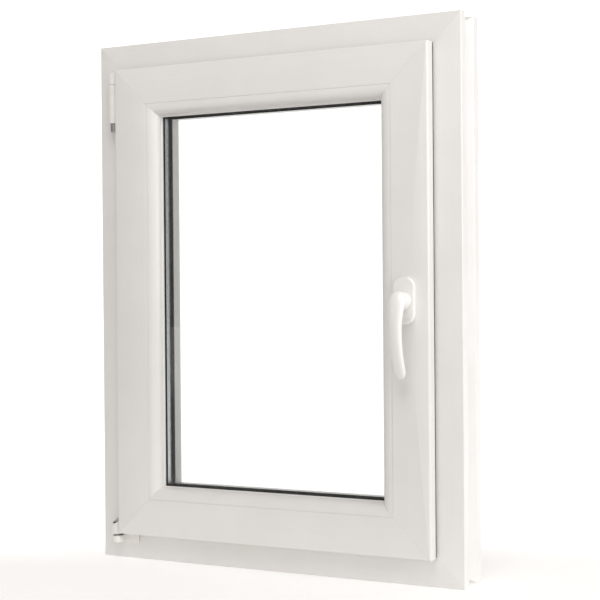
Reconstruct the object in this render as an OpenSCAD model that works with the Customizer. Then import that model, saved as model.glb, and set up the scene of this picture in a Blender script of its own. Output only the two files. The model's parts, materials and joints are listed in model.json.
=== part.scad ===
// Tilt-and-turn casement window in hollow plastic profile, hinged left, seen from the room.
// X runs to the right, Y away from the room, Z up. The origin is the middle of the frame's
// bottom edge, on the plane of the frame's room face.
// A profile is drawn as (u, v): u is the distance inwards from the frame's outer edge and
// v is the distance behind the frame's room face. All mitres meet on the frame's corners.

/* [Frame] */
// Overall width of the frame
frame_w = 600; // [500:10:900]
// Overall height of the frame
frame_h = 800; // [660:10:1200]
// Depth of the frame, from its room face to its outside face
frame_d = 70; // [68:1:84]
// Height of the frame profile up to its rebate floor
frame_face = 48; // [44:1:60]
// Thickness of the outer stop that the sash closes against
stop_t = 20; // [16:1:20]
// Height of the outer stop above the rebate floor
stop_h = 20; // [18:1:24]
// Depth of the groove in the frame's outer edge
edge_groove = 9; // [6:0.5:10]

/* [Walls] */
// Outer wall of the plastic profiles
pvc_wall = 2.8; // [2.2:0.1:3.2]
// Webs between the chambers
pvc_web = 1.5; // [1:0.1:2]
// Wall of the steel bars inside the profiles
steel_wall = 1.5; // [1:0.1:2]

/* [Sash] */
// How far the sash laps over the frame's room face
overlap = 7; // [6:0.5:8]
// Gap between the rebate floor and the sash
rebate_gap = 12; // [11:0.5:13]
// How far the sash stands proud of the frame's room face
sash_proud = 23; // [20:1:26]
// Gap between the sash flange and the frame's room face
seal_gap = 4; // [4:0.1:5]
// Gap between the sash and the outer stop
stop_gap = 3; // [2.5:0.1:4]
// Height of the sash profile from the rebate gap to the glazing floor
sash_body = 37; // [36:1:44]
// Height of the lip and the beads that hold the glass
glass_lip = 20; // [18:1:24]
// Thickness of the outer glass lip
lip_t = 20; // [17:1:22]

/* [Glazing] */
// Thickness of one pane
pane_t = 4; // [3:0.5:6]
// Gap between the panes
pane_gap = 16; // [10:1:18]
// Thickness of the gaskets on both sides of the glass
glass_seal = 3; // [2.5:0.1:4]
// Space for packers between the glazing floor and the glass
packer_t = 5; // [4:0.5:6]

/* [Hinges] */
// Outer diameter of the hinge barrels
barrel_d = 13; // [12.5:0.1:14]
// Diameter of the hinge pins
pin_d = 7; // [6:0.1:7]
// Thickness of the plastic hinge covers
cover_t = 1.2; // [0.8:0.1:1.6]
// Distance of the hinge axis in front of the frame's room face
hinge_v = 13; // [12.5:0.1:14]
// How far the tilt axis lies below the rebate floor
tilt_drop = 3; // [2:0.5:4]
// Length of the bearing under the stay arm
bearing_len = 59.5; // [50:0.5:70]
// Reach of the stay arm from its axis to its stud
stay_reach = 280; // [200:5:330]

/* [Drive] */
// Height of the handle above the frame's bottom edge
handle_z = 400; // [360:5:600]
// Distance of the drive groove's middle behind the frame's room face
drive_v = 9; // [9:0.1:9.5]
// Thickness of the faceplates
plate_t = 2.5; // [2:0.1:3]
// Thickness of the sliding rods
rod_t = 2.75; // [2.5:0.05:2.8]
// Gear module of the drive pinion
gear_module = 1.5; // [1.4:0.05:1.5]
// Number of teeth on the drive pinion
pinion_teeth = 15; // [14:1:16]
// Diameter of the locking cams
cam_d = 6; // [5:0.1:6.5]
// Width across the flats of the square spindle
spindle_s = 7; // [6:0.5:7]
// Diameter of the handle's fixing screws
handle_screw_d = 5; // [4:0.5:5]

/* [Hidden] */
$fn = 48;
SIDES = ["sill", "head", "hinge", "lock"];
corner_steps = 4;
play = 0.3;
running = 0.05;

// Levels across the profiles
flange_u = frame_face - overlap;
body_u = frame_face + rebate_gap;
glazing_u = body_u + sash_body;
sight_u = glazing_u + glass_lip;
front_v = -sash_proud;
flange_back_v = -seal_gap;
stop_v = frame_d - stop_t;
sash_back_v = stop_v - stop_gap;
lip_v = sash_back_v - lip_t;
glass_back_v = lip_v - glass_seal;
glass_front_v = glass_back_v - 2 * pane_t - pane_gap;
bead_back_v = glass_front_v - glass_seal;
glass_u = glazing_u + packer_t;
ring_depth = sight_u + 10;

// The groove in the sash edge that holds the drive
plate_w = 16;
channel_w = 12;
channel_u = body_u + 9.5;
plate_u = body_u + plate_t;
rod_u = plate_u + play;
rod_w = channel_w - 2 * play;

// Chambers
frame_steel_u = edge_groove + pvc_wall;
frame_steel_v = 16;
frame_steel_back = 40;
sash_steel_u = channel_u + pvc_wall;
sash_steel_v = -8;
sash_steel_back = lip_v - 1;
steel_setback = 20;
wall_top_u = frame_face - pvc_wall;

// Rack and pinion
pressure = 20;
pitch_r = gear_module * pinion_teeth / 2;
base_r = pitch_r * cos(pressure);
tip_r = pitch_r + gear_module;
root_r = pitch_r - 1.25 * gear_module;
tooth_pitch = PI * gear_module;
tooth_slack = 0.12;
rack_addendum = rod_t - 1.45;
pitch_u = rod_u + rod_t - rack_addendum;
spindle_u = pitch_u + pitch_r;
spindle_x = frame_w / 2 - spindle_u;
travel = pitch_r * PI;
pinion_hub_r = 6.5;
case_top_u = rod_u + rod_t + 0.75;
case_back_u = spindle_u + tip_r + 2.75;
case_half = 32;
case_wall = 1.3;

// Hinge axis and hardware places
cover_r = barrel_d / 2 + cover_t;
hinge_u = flange_u - cover_r - 0.6;
hinge_x = -frame_w / 2 + hinge_u;
tilt_z = frame_face - tilt_drop;
rebate_x = -frame_w / 2 + frame_face;
sash_x = -frame_w / 2 + body_u;
stay_top = frame_h - flange_u - 3;
stay_split = stay_top - 18.5;
bearing_z = stay_split - 0.5 - bearing_len;
crank_t = 3;
leg_t = 2.5;
screw_d = 3.9;
arm_z = frame_h - body_u + 4;
stud_x = hinge_x + stay_reach;
stud_d = 6;
cam_tip_u = frame_face + 3;
drive_leg = 58;
face_split = drive_leg + body_u;
cam_top_x = stud_x + 97;
cam_bottom_x = frame_w / 2 - face_split - 20;
cam_lock_z = frame_h - 145;
band_t = 1.5;
guide_start = stud_x - 60;
guide_end = stud_x + 38;
slot_shift = 14;
slot_r = stud_d / 2 + 1.2;

// Fixings, drains and the frame's own hinge parts
anchor_r = 3.25;
anchor_v = (frame_steel_v + frame_steel_back) / 2;
anchor_places = [150, frame_h - 150];
drain_x = [-frame_w / 3, frame_w / 3];
bearing_top = bearing_z + bearing_len;
bearing_screws = [bearing_z + 9, bearing_z + 28, bearing_z + 47];
rest_screws = [rebate_x + 14, rebate_x + 30, rebate_x + 46];
rest_wrap = 17;
rest_low = tilt_z - 19;
rest_high = tilt_z - 9;
ear_gap = 7;
band_low = tilt_z - 5.5;
band_z = tilt_z + 7.6;
band_top = band_z + 9.4;
bush_r = pin_d / 2 + 1.1;
band_screws = [band_z + 20, band_z + 32, band_z + 44];
keep_lock_screws = [cam_lock_z - 11, cam_lock_z + 11];
keep_top_screws = [cam_top_x - 11, cam_top_x + 11];
keep_tilt_screws = [cam_bottom_x - travel - 3, cam_bottom_x + 3];
rack_spaces = [-3:11];

// Glass and beads
bead_groove_v = front_v + 9;
bead_nose_v = bead_back_v - 3.5;
inner_face_v = glass_front_v + pane_t;
outer_face_v = glass_back_v - pane_t;

// Each faceplate is [side, from, to, cam place, travel of the cam]
PLATES = [
    ["lock", face_split, frame_h - face_split, cam_lock_z, -travel],
    ["head", guide_end, frame_w / 2 - face_split, cam_top_x, travel],
    ["sill", cam_bottom_x - travel - 60, frame_w / 2 - face_split, cam_bottom_x, -travel]
];

// Handle. The lever's middle line, seen from the side, is a Bezier curve of
// [distance proud, distance down].
lever_curve = [[30, -7], [45, 24], [37, 72], [21, 105]];
lever_thick = [14, 10];
rosette_w = 30;
rosette_h = 66.6;
rosette_t = 10;
screw_spread = 43;
neck_r = 8;

function unit(v) = v / norm(v);
function flat(p) = [p[0], p[1]];

// An outline whose corners [u, v, radius] are rounded by arcs
function corner_arc(before, at, after) =
    let (m = flat(at), r = at[2])
    r == 0 ? [m] :
    let (
        a = unit(flat(before) - m),
        b = unit(flat(after) - m),
        half = acos(a * b) / 2,
        centre = m + unit(a + b) * r / sin(half),
        start = m + a * r / tan(half) - centre,
        end = m + b * r / tan(half) - centre,
        from = atan2(start[1], start[0]),
        turned = atan2(end[1], end[0]) - from,
        sweep = turned > 180 ? turned - 360 : turned < -180 ? turned + 360 : turned
    )
    [for (i = [0:corner_steps])
        centre + r * [cos(from + sweep * i / corner_steps), sin(from + sweep * i / corner_steps)]];

function rounded(points) =
    let (n = len(points))
    [for (i = [0:n - 1])
        each corner_arc(points[(i + n - 1) % n], points[i], points[(i + 1) % n])];

function side_length(side) = side == "sill" || side == "head" ? frame_w : frame_h;

// A place along a side, given as its X or Z, in that side's own drawing
function along(side, place) =
    side == "sill" ? place :
    side == "head" ? -place :
    side == "hinge" ? frame_h / 2 - place :
    place - frame_h / 2;

// Moves what is drawn on the sill (x along it, y = v, z = u) to another side
module on_side(side) {
    if (side == "sill") children();
    if (side == "head") translate([0, 0, frame_h]) rotate([0, 180, 0]) children();
    if (side == "hinge") translate([-frame_w / 2, 0, frame_h / 2]) rotate([0, 90, 0]) children();
    if (side == "lock") translate([frame_w / 2, 0, frame_h / 2]) rotate([0, -90, 0]) children();
}

// A bar of the (u, v) profile, mitred at both ends on the frame's corners
module mitred(side) {
    length = side_length(side);
    half = length / 2;
    on_side(side) intersection() {
        rotate([0, -90, 0]) linear_extrude(length, center = true) children();
        translate([0, 100, 0]) rotate([90, 0, 0]) linear_extrude(200)
            polygon([
                [-half, 0], [half, 0],
                [half - ring_depth, ring_depth], [-half + ring_depth, ring_depth]
            ]);
    }
}

// A square-ended bar of the (u, v) profile between two places along a side
module straight(side, from, to) {
    a = along(side, from);
    b = along(side, to);
    on_side(side) translate([max(a, b), 0, 0]) rotate([0, -90, 0]) linear_extrude(abs(b - a)) children();
}

module ring() {
    for (side = SIDES) mitred(side) children();
}

module rect(u0, u1, v0, v1) {
    translate([u0, v0]) square([u1 - u0, v1 - v0]);
}

// A countersunk screw whose head is level with z = 0 and which points down
module screw(length, clearance = 0) {
    shank = screw_d + 2 * clearance;
    head = 7 + 2 * clearance;
    translate([0, 0, -length]) cylinder(d = shank, h = length);
    translate([0, 0, -1.8]) cylinder(d1 = shank, d2 = head, h = 1.8);
}

// A screw driven through a plate on a side, outwards into the frame or inwards into the sash
module frame_screw(side, place, v, u, clearance = 0) {
    on_side(side) translate([along(side, place), v, u]) screw(12, clearance);
}
module sash_screw(side, place, v, u, clearance = 0) {
    on_side(side) translate([along(side, place), v, u]) mirror([0, 0, 1]) screw(12, clearance);
}

// ---------------------------------------------------------------- frame
module frame_profile() {
    slope_v = stop_v;
    difference() {
        polygon(rounded([
            [0, 0, 1.5], [0, 17, 0.8], [edge_groove, 18, 0.8], [edge_groove, 35, 0.8], [0.8, slope_v, 0.8],
            [0, slope_v + 1, 0], [0, frame_d, 1.5], [frame_face + stop_h, frame_d, 2],
            [frame_face + stop_h, stop_v, 1], [frame_face, stop_v, 0.8], [frame_face, 0, 1.5]
        ]));
        // front chamber
        rect(pvc_wall, wall_top_u, pvc_wall, frame_steel_v - pvc_web);
        // steel chamber
        rect(frame_steel_u, wall_top_u, frame_steel_v, frame_steel_back);
        // middle chamber behind the sloping edge
        polygon([
            [edge_groove - 0.2, frame_steel_back + pvc_web], [wall_top_u, frame_steel_back + pvc_web],
            [wall_top_u, stop_v + 3], [pvc_wall, stop_v + 3], [pvc_wall, stop_v + 1.5]
        ]);
        // rear chamber and the chamber of the stop
        rect(pvc_wall, wall_top_u, stop_v + 3 + pvc_web, frame_d - pvc_wall);
        rect(wall_top_u + pvc_web, frame_face + stop_h - pvc_wall, stop_v + pvc_wall, frame_d - pvc_wall);
        // groove for the foot of the stop's seal
        rect(frame_face + 13.5, frame_face + 15.5, stop_v - 1, stop_v + 2);
    }
}

// Holes through a jamb for the anchors that fix the window in its wall
module anchor_holes() {
    for (side = ["hinge", "lock"], place = anchor_places)
        on_side(side) translate([along(side, place), anchor_v, -1])
            cylinder(r = anchor_r, h = frame_face + 2);
}

// Slots that let rain water out of the sill's rebate
module drain_slots() {
    for (x = drain_x) {
        translate([x - 12, stop_v - 9, wall_top_u - 4]) cube([24, 5, pvc_wall + 8]);
        translate([x + 18, frame_d - 5, 12]) cube([24, 10, 5]);
    }
}

module frame_sill() {
    color("#e9e7e3") difference() {
        mitred("sill") frame_profile();
        drain_slots();
    }
}
module frame_head() {
    color("#e9e7e3") mitred("head") frame_profile();
}
module frame_jamb(side) {
    color("#e9e7e3") difference() {
        mitred(side) frame_profile();
        anchor_holes();
    }
}

module frame_steel() {
    color("#9aa0a6") difference() {
        for (side = SIDES) {
            middle = side == "sill" || side == "head" ? 0 : frame_h / 2;
            reach = side_length(side) / 2 - frame_face - steel_setback;
            straight(side, middle - reach, middle + reach) difference() {
                rect(frame_steel_u, wall_top_u - play, frame_steel_v, frame_steel_back - play);
                rect(frame_steel_u + steel_wall, wall_top_u - play - steel_wall,
                     frame_steel_v + steel_wall, frame_steel_back - play - steel_wall);
            }
        }
        anchor_holes();
    }
}

module frame_seal() {
    u = frame_face + 13.5;
    color("#1b1b1b") ring() polygon([
        [u, stop_v + 2], [u, stop_v], [u - 1.5, stop_v], [u - 1, stop_v - 1.2],
        [u - 0.4, stop_v - stop_gap + play],
        [u + 0.6, stop_v - stop_gap + play], [u + 3, stop_v - 1.4], [u + 4, stop_v], [u + 2, stop_v],
        [u + 2, stop_v + 2]
    ]);
}

module drain_caps() {
    color("#e9e7e3") for (x = drain_x) translate([x + 30, frame_d, 8]) difference() {
        rotate([90, 0, 90]) linear_extrude(40, center = true)
            polygon(rounded([[0, 0, 0], [4, 0, 1], [4, 7, 3], [0, 13, 0]]));
        translate([-13, -1, -1]) cube([26, 3.4, 10]);
    }
}

// ---------------------------------------------------------------- keeps
// A keep on the rebate floor: lips on the room side, each [from, to], and a plate with two screws
module keep(side, plate, lips, lip_gap, screws) {
    face = drive_v - cam_d / 2 - lip_gap;
    color("#b9bcbf") difference() {
        union() {
            straight(side, plate[0], plate[1]) rect(frame_face, frame_face + 2, face - 2, drive_v + 12);
            for (lip = lips) straight(side, lip[0], lip[1])
                rect(frame_face + 1, frame_face + 8, face - 2, face);
        }
        for (place = screws) frame_screw(side, place, drive_v + 7, frame_face + 2, running);
    }
}
module keep_lock() {
    z = cam_lock_z;
    keep("lock", [z - 17, z + 17], [[z - 9, z + 12]], 0.4, keep_lock_screws);
}
module keep_top() {
    x = cam_top_x;
    keep("head", [x - 17, x + 17], [[x - 12, x + 9]], 0.4, keep_top_screws);
}
module keep_tilt() {
    x = cam_bottom_x;
    keep("sill", [x - travel - 10, x + 10], [[x - 7, x + 9], [x - travel - 9, x - travel + 7]], 1.8,
         keep_tilt_screws);
}
module keep_screws() {
    color("#8f9396") {
        for (z = keep_lock_screws) frame_screw("lock", z, drive_v + 7, frame_face + 2);
        for (x = keep_top_screws) frame_screw("head", x, drive_v + 7, frame_face + 2);
        for (x = keep_tilt_screws) frame_screw("sill", x, drive_v + 7, frame_face + 2);
    }
}

// ---------------------------------------------------------------- hinges on the frame
module hinge_cylinder(r, z0, z1) {
    translate([hinge_x, -hinge_v, z0]) cylinder(r = r, h = z1 - z0);
}
// A box that ties a barrel to the frame side, from x0 to x1 either side of the hinge axis
module hinge_block(x0, x1, y0, y1, z0, z1) {
    translate([hinge_x + x0, y0, z0]) cube([x1 - x0, y1 - y0, z1 - z0]);
}
// A plastic cover round the front of a barrel
module half_cover(z0, z1) {
    difference() {
        hinge_cylinder(cover_r, z0, z1);
        hinge_cylinder(barrel_d / 2, z0 - 1, z1 + 1);
        hinge_block(-cover_r - 1, cover_r + 1, -hinge_v + 3, 1, z0 - 1, z1 + 1);
    }
}

module stay_bearing() {
    color("#c4c7ca") difference() {
        union() {
            hinge_cylinder(barrel_d / 2, bearing_z, bearing_top);
            hinge_block(-5.5, 5.5, -hinge_v, 0, bearing_z, bearing_top);
            translate([hinge_x - 5.5, -crank_t, bearing_z])
                cube([rebate_x + leg_t - hinge_x + 5.5, crank_t, bearing_len]);
            translate([rebate_x, -crank_t, bearing_z]) cube([leg_t, 28 + crank_t, bearing_len]);
        }
        hinge_cylinder(pin_d / 2, bearing_z - 1, bearing_top + 1);
        for (z = bearing_screws) frame_screw("hinge", z, 18, frame_face + leg_t, running);
    }
}

module stay_pin() {
    color("#6e7276") {
        hinge_cylinder(pin_d / 2, bearing_z, stay_top - 1.5);
        hinge_cylinder(pin_d / 2 + 1, bearing_z - 13, bearing_z);
    }
}

module pivot_rest() {
    color("#c4c7ca") difference() {
        union() {
            hinge_cylinder(barrel_d / 2, rest_low, rest_high);
            hinge_block(-barrel_d / 2, barrel_d / 2, -hinge_v, 0, rest_low, rest_high);
            translate([hinge_x, -crank_t, rest_low])
                cube([rebate_x + rest_wrap - hinge_x, crank_t, frame_face + leg_t - rest_low]);
            translate([rebate_x + 1, -crank_t, frame_face]) cube([rest_wrap - 1, crank_t + 3, leg_t]);
            translate([rebate_x + 1, 1, frame_face]) cube([54, 27, leg_t]);
        }
        hinge_cylinder(bush_r, rest_low + 1, rest_high + 1);
        for (x = rest_screws) frame_screw("sill", x, 18, frame_face + leg_t, running);
    }
}
module rest_bush() {
    color("#141414") difference() {
        hinge_cylinder(bush_r, rest_low + 1, rest_high);
        hinge_cylinder(pin_d / 2 + running, rest_low + 2, rest_high + 1);
    }
}

module hinge_covers() {
    color("#f0efec") {
        half_cover(bearing_z, bearing_top);
        half_cover(rest_low, rest_high);
    }
}

module hinge_screws() {
    color("#8f9396") {
        for (z = bearing_screws) frame_screw("hinge", z, 18, frame_face + leg_t);
        for (x = rest_screws) frame_screw("sill", x, 18, frame_face + leg_t);
    }
}

// ---------------------------------------------------------------- pivot and stay

// Turns in the rest on its pin, and carries the cross pin on which the sash tilts
module pivot_pin() {
    eye_half = ear_gap / 2 - play;
    color("#6e7276") {
        hinge_cylinder(pin_d / 2, rest_low + 2 + play, rest_high + 1);
        hinge_cylinder(barrel_d / 2 - 0.5, rest_high + 0.1, rest_high + 1.4);
        hinge_block(-eye_half, eye_half, -hinge_v - eye_half, -hinge_v + eye_half, rest_high + 1, tilt_z);
        translate([hinge_x, -hinge_v, tilt_z]) rotate([0, 90, 0]) {
            cylinder(r = 5.4, h = 2 * eye_half, center = true);
            cylinder(r = 2.5, h = barrel_d - 1.8, center = true);
        }
    }
}

module stay_bush() {
    color("#26282a") difference() {
        hinge_cylinder(bush_r + 0.15, stay_split, stay_top - 1.5);
        hinge_cylinder(pin_d / 2 + running, stay_split - 1, stay_top);
    }
}

// The flat outline of the stay arm, from the crank to the stud
module arm_outline() {
    difference() {
        hull() {
            translate([rebate_x + 8, 3.5]) circle(r = 7);
            translate([stud_x, drive_v]) circle(r = 8);
        }
        translate([stud_x, drive_v]) circle(d = stud_d);
    }
}
module stay_arm() {
    crank_y = -crank_t - 0.5;
    color("#c4c7ca") difference() {
        union() {
            hinge_cylinder(barrel_d / 2, stay_split, stay_top - 1.5);
            hinge_block(-2, 4.5, -hinge_v, -0.5, arm_z - 3, arm_z + 6);
            translate([hinge_x - 2, crank_y, arm_z - 3]) cube([rebate_x + 8 - hinge_x + 2, crank_t, 9]);
            translate([0, 0, arm_z]) linear_extrude(crank_t) arm_outline();
        }
        hinge_cylinder(bush_r + 0.15 + running, stay_split - 1, stay_top);
    }
}
module stay_arm_cap() {
    color("#f0efec") {
        difference() {
            hinge_cylinder(cover_r, stay_split, stay_top - 1.5);
            hinge_cylinder(barrel_d / 2, stay_split - 1, stay_top);
            hinge_block(-cover_r - 1, cover_r + 1, -hinge_v + 3, 1, stay_split - 1, stay_top);
        }
        hinge_cylinder(cover_r, stay_top - 1.5, stay_top);
    }
}
module stay_stud() {
    color("#6e7276") translate([stud_x, drive_v, 0]) {
        translate([0, 0, arm_z - 13]) cylinder(d = stud_d, h = 13 + crank_t);
        translate([0, 0, arm_z + crank_t]) cylinder(d1 = stud_d + 3, d2 = stud_d, h = 1);
    }
}

// ---------------------------------------------------------------- sash
module sash_profile() {
    difference() {
        polygon(rounded([
            [flange_u, front_v, 2.5], [flange_u, flange_back_v, 0.8], [body_u, flange_back_v, 0.4],
            [body_u, sash_back_v, 2], [sight_u, sash_back_v, 2.5], [sight_u, lip_v, 0.8],
            [glazing_u, lip_v, 0], [glazing_u, front_v, 0.6]
        ]));
        // groove for the faceplates and channel for the rods
        rect(body_u - 1, plate_u, drive_v - plate_w / 2, drive_v + plate_w / 2);
        rect(plate_u - 1, channel_u, drive_v - channel_w / 2, drive_v + channel_w / 2);
        // front chambers, in the flange and above it
        rect(flange_u + pvc_wall, body_u - 3, front_v + pvc_wall, flange_back_v - pvc_wall);
        rect(body_u - 3 + pvc_web, glazing_u - 8.3, front_v + pvc_wall, sash_steel_v - pvc_web);
        // small chambers beside the channel
        rect(body_u + pvc_wall, channel_u + 1, sash_steel_v, drive_v - plate_w / 2 - pvc_wall);
        rect(body_u + pvc_wall, channel_u + 1, drive_v + plate_w / 2 + pvc_wall, sash_steel_back);
        // steel chamber
        rect(sash_steel_u, glazing_u - pvc_wall, sash_steel_v, sash_steel_back);
        // rear chambers, one behind the steel and one in the glass lip
        rect(body_u + pvc_wall, glazing_u - pvc_wall, sash_steel_back + pvc_web, sash_back_v - pvc_wall);
        rect(glazing_u - pvc_wall + pvc_web, sight_u - pvc_wall, lip_v + pvc_wall, sash_back_v - pvc_wall);
        // grooves for the bead's foot, the flange's seal and the glass seal
        rect(glazing_u - 5.5, glazing_u + 1, bead_groove_v, bead_groove_v + 4);
        rect(flange_u + 3, flange_u + 5, flange_back_v - 2, flange_back_v + 1);
        rect(glazing_u + 11, glazing_u + 13, lip_v - 1, lip_v + 2);
    }
}

// Places along the handle's axis: x to the right, y down, z away from the room
module on_handle() {
    translate([spindle_x, 0, handle_z]) rotate([-90, 0, 0]) children();
}
module handle_screw_places() {
    for (y = [-1, 1]) translate([0, y * screw_spread / 2, 0]) children();
}
module handle_pocket() {
    on_handle() {
        translate([spindle_u - case_back_u - play, -case_half - play, drive_v - channel_w / 2])
            cube([case_back_u - channel_u + 1 + play, 2 * (case_half + play), channel_w]);
        translate([0, 0, front_v - 1]) cylinder(r = 6, h = drive_v - front_v);
        handle_screw_places() translate([0, 0, front_v - 1])
            cylinder(d = handle_screw_d + 2 * running, h = drive_v - front_v);
    }
}

module sash_rail_bottom() {
    color("#ecebe7") mitred("sill") sash_profile();
}
module sash_rail_top() {
    color("#ecebe7") mitred("head") sash_profile();
}
module sash_stile_hinge() {
    color("#ecebe7") mitred("hinge") sash_profile();
}
module sash_stile_lock() {
    color("#ecebe7") difference() {
        mitred("lock") sash_profile();
        handle_pocket();
    }
}

module sash_steel() {
    color("#9aa0a6") difference() {
        for (side = SIDES) {
            middle = side == "sill" || side == "head" ? 0 : frame_h / 2;
            reach = side_length(side) / 2 - glazing_u - steel_setback / 2;
            straight(side, middle - reach, middle + reach) difference() {
                rect(sash_steel_u, glazing_u - pvc_wall, sash_steel_v, sash_steel_back);
                rect(sash_steel_u - 1, glazing_u - pvc_wall - steel_wall,
                     sash_steel_v + steel_wall, sash_steel_back - steel_wall);
            }
        }
        handle_pocket();
    }
}

module sash_seal() {
    u = flange_u + 3;
    color("#1b1b1b") difference() {
        ring() polygon([
            [u, flange_back_v - 2], [u, flange_back_v], [u - 1, flange_back_v],
            [u - 0.6, flange_back_v + 1.4],
            [u, -0.6], [u + 1, -0.6], [u + 2.4, flange_back_v + 1.4], [u + 3, flange_back_v],
            [u + 2, flange_back_v], [u + 2, flange_back_v - 2]
        ]);
        // cut away where the hinges pass through the gap
        translate([-frame_w / 2, flange_back_v, bearing_z - 2])
            cube([body_u, seal_gap + 1, arm_z + 10 - bearing_z]);
        translate([-frame_w / 2, flange_back_v, 0])
            cube([frame_face + rest_wrap + 2, seal_gap + 1, band_top + 4]);
    }
}

// ---------------------------------------------------------------- glazing
module bead_profile() {
    flat_u = glazing_u + 2.5;
    rise = bead_nose_v - 1.5 - front_v - 0.4;
    run = sight_u - 1.5 - flat_u;
    curve = [for (a = [0:7.5:90]) [flat_u + run * sin(a), bead_nose_v - 1.5 - rise * cos(a)]];
    difference() {
        union() {
            polygon(concat(
                [[glazing_u, bead_back_v], [glazing_u, front_v + 0.9], [glazing_u + 0.5, front_v + 0.4]],
                curve,
                [[sight_u - 1.5, bead_nose_v], [sight_u, bead_nose_v + 0.4], [sight_u, bead_back_v]]
            ));
            rect(glazing_u - 5, glazing_u + 1, bead_groove_v + 0.4, bead_groove_v + 4);
        }
        rect(glazing_u + 2, glazing_u + 9, front_v + 5, bead_back_v - 2);
    }
}
module bead(side) {
    color("#f0efec") mitred(side) bead_profile();
}

module bead_seal() {
    u = sight_u + 0.8;
    color("#141414") ring() polygon([
        [u - 11, glass_front_v], [u - 11, bead_back_v], [u - 1, bead_back_v], [u, bead_back_v + 0.6],
        [u + 0.6, glass_front_v]
    ]);
}
module glazing_seal() {
    u = sight_u + 0.3;
    color("#141414") ring() polygon([
        [u - 12, glass_back_v], [u + 0.6, glass_back_v], [u, lip_v - 0.6], [u - 1, lip_v],
        [glazing_u + 13, lip_v], [glazing_u + 13, lip_v + 2], [glazing_u + 11, lip_v + 2],
        [glazing_u + 11, lip_v],
        [u - 12, lip_v]
    ]);
}

// A flat ring or sheet in the plane of the glass
module glass_sheet(u0, v0, v1) {
    translate([-frame_w / 2 + u0, v0, u0]) cube([frame_w - 2 * u0, v1 - v0, frame_h - 2 * u0]);
}
module glass_ring(u0, u1, v0, v1) {
    difference() {
        glass_sheet(u0, v0, v1);
        glass_sheet(u1, v0 - 1, v1 + 1);
    }
}
module glass_inner() {
    color("#bfe0e0", 0.35) glass_sheet(glass_u, glass_front_v, inner_face_v);
}
module glass_outer() {
    color("#bfe0e0", 0.35) glass_sheet(glass_u, outer_face_v, glass_back_v);
}
module glass_sealant() {
    color("#151515") glass_ring(glass_u, glass_u + 5, inner_face_v, outer_face_v);
}
module glass_spacer() {
    u = glass_u + 5;
    color("#c9ccce") difference() {
        glass_ring(u, u + 7, inner_face_v, outer_face_v);
        glass_ring(u + 1, u + 6, inner_face_v + 1, outer_face_v - 1);
    }
}
module glazing_packers() {
    packer = 60;
    color("#3f6fb0") for (side = SIDES, end = [-1, 1]) {
        middle = side == "sill" || side == "head" ? 0 : frame_h / 2;
        place = middle + end * (side_length(side) / 2 - glass_u - packer);
        straight(side, place - packer / 2, place + packer / 2)
            rect(glazing_u, glass_u, glass_front_v, glass_back_v);
    }
}

// ---------------------------------------------------------------- hinge hardware on the sash
module corner_band() {
    crank_y = -crank_t - 0.5;
    neck_z = band_z + 1.4;
    color("#c4c7ca") difference() {
        union() {
            hinge_cylinder(barrel_d / 2, band_low, band_z + 2.4);
            hinge_block(-2, 4.5, 4 - hinge_v, -0.5, neck_z, band_top);
            hinge_block(-2, 4.5, -hinge_v, -0.5, neck_z, band_z + 2.4);
            translate([hinge_x - 2, crank_y, neck_z])
                cube([sash_x - hinge_x + 2, crank_t, band_top - neck_z]);
            translate([sash_x - leg_t, crank_y, neck_z]) cube([leg_t, 30, 52.6]);
        }
        // the fork that holds the cross pin
        hinge_block(-ear_gap / 2, ear_gap / 2, -hinge_v - 10, -hinge_v + 10, band_low - 1, tilt_z + 7);
        translate([hinge_x, -hinge_v, tilt_z]) rotate([0, 90, 0])
            cylinder(r = 2.5 + running, h = 3 * barrel_d, center = true);
        for (z = band_screws) sash_screw("hinge", z, drive_v + 12, body_u - leg_t, running);
    }
}
// Its cover closes to a tube above the barrel, and is cut off there at a slant
module corner_band_cap() {
    mouth = band_z + 2.4;
    color("#f0efec") difference() {
        union() {
            half_cover(band_low, mouth + 0.5);
            difference() {
                hinge_cylinder(cover_r, mouth, mouth + 9.5);
                hinge_cylinder(barrel_d / 2, mouth - 1, mouth + 10);
            }
        }
        hinge_block(-2.3, 4.8, 2 - hinge_v, 0, mouth - 1, mouth + 10);
        translate([hinge_x, -hinge_v, mouth + 5]) rotate([29.5, -19.3, 0])
            translate([-30, -30, 0]) cube([60, 60, 30]);
    }
}
module corner_band_screws() {
    color("#8f9396") for (z = band_screws) sash_screw("hinge", z, drive_v + 12, body_u - leg_t);
}

// ---------------------------------------------------------------- drive in the sash edge
// A slot with round ends, along a side, cut through a faceplate
module slot(side, from, to, r) {
    a = along(side, from);
    b = along(side, to);
    on_side(side) translate([0, drive_v, body_u - 1]) {
        translate([min(a, b), -r, 0]) cube([abs(b - a), 2 * r, plate_t + 2]);
        for (w = [a, b]) translate([w, 0, 0]) cylinder(r = r, h = plate_t + 2);
    }
}
module plate_profile() {
    rect(body_u, plate_u, drive_v - plate_w / 2 + play, drive_v + plate_w / 2 - play);
}
function plate_screws(p) = [p[1] + 8, p[2] - 8];
module faceplates() {
    color("#c4c7ca") for (p = PLATES) difference() {
        straight(p[0], p[1], p[2]) plate_profile();
        slot(p[0], p[3], p[3] + p[4], cam_d / 2 + 0.5);
        for (place = plate_screws(p)) sash_screw(p[0], place, drive_v, body_u, running);
    }
}
module faceplate_screws() {
    color("#8f9396") for (p = PLATES, place = plate_screws(p)) sash_screw(p[0], place, drive_v, body_u);
}
module stay_guide() {
    color("#b9bcbf") difference() {
        straight("head", guide_start, guide_end - play) plate_profile();
        slot("head", stud_x - slot_shift, stud_x, slot_r);
    }
}

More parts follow.
